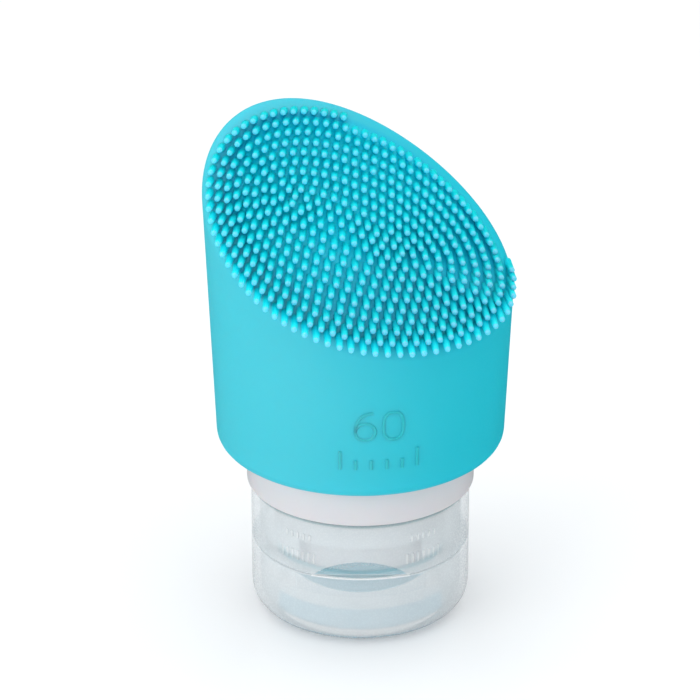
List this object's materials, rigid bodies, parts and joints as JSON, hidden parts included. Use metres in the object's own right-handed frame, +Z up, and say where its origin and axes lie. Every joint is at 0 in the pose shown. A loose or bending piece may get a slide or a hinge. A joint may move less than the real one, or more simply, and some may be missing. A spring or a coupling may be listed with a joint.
{
  "type": "squeeze travel bottle",
  "caption": "Soft squeeze travel bottle standing on its flip-top screw cap, with a slanted end covered in short bristles, a rigid neck collar and a slit valve.",
  "frame": {"origin": "centre of the lid's flat outer face, on the floor that the bottle stands on", "axes": "+Z up, from the lid to the bristle face; -Y towards the thumb recess; +Y towards the living hinge"},
  "size_m": [0.0502, 0.0546, 0.0819],
  "materials": {
    "body_silicone": "satin silicone",
    "bristle_silicone": "satin silicone",
    "collar_plastic": "satin",
    "cap_plastic": "frosted translucent",
    "lid_plastic": "frosted translucent",
    "hinge_plastic": "frosted translucent",
    "valve_silicone": "soft translucent",
    "ring_plastic": "satin"
  },
  "bodies": {
    "bottle": {"bottle_body": "body_silicone", "brush_face": "bristle_silicone", "neck_collar": "collar_plastic"},
    "valve": {"drip_valve": "valve_silicone"},
    "cap": {"cap_base": "cap_plastic", "valve_ring": "ring_plastic", "hinge_web": "hinge_plastic"},
    "lid": {"flip_lid": "lid_plastic"}
  },
  "joints": [
    {"name": "cap_lift", "type": "slide", "parent": "bottle", "child": "valve", "axis": [0, 0, -1], "range_m": [0, 0.006]},
    {"name": "cap_turn", "type": "hinge", "parent": "valve", "child": "cap", "pos_m": [0, 0, 0.0125], "axis": [0, 0, -1], "range_deg": [0, 540]},
    {"name": "lid_hinge", "type": "hinge", "parent": "cap", "child": "lid", "pos_m": [0, 0.01865, 0.0125], "axis": [1, 0, 0], "range_deg": [0, 150], "deforming": ["hinge_web"]}
  ],
  "couplings": [
    {"joint": "cap_lift", "follows": "cap_turn", "m_per_rad": 0.00063662}
  ]
}
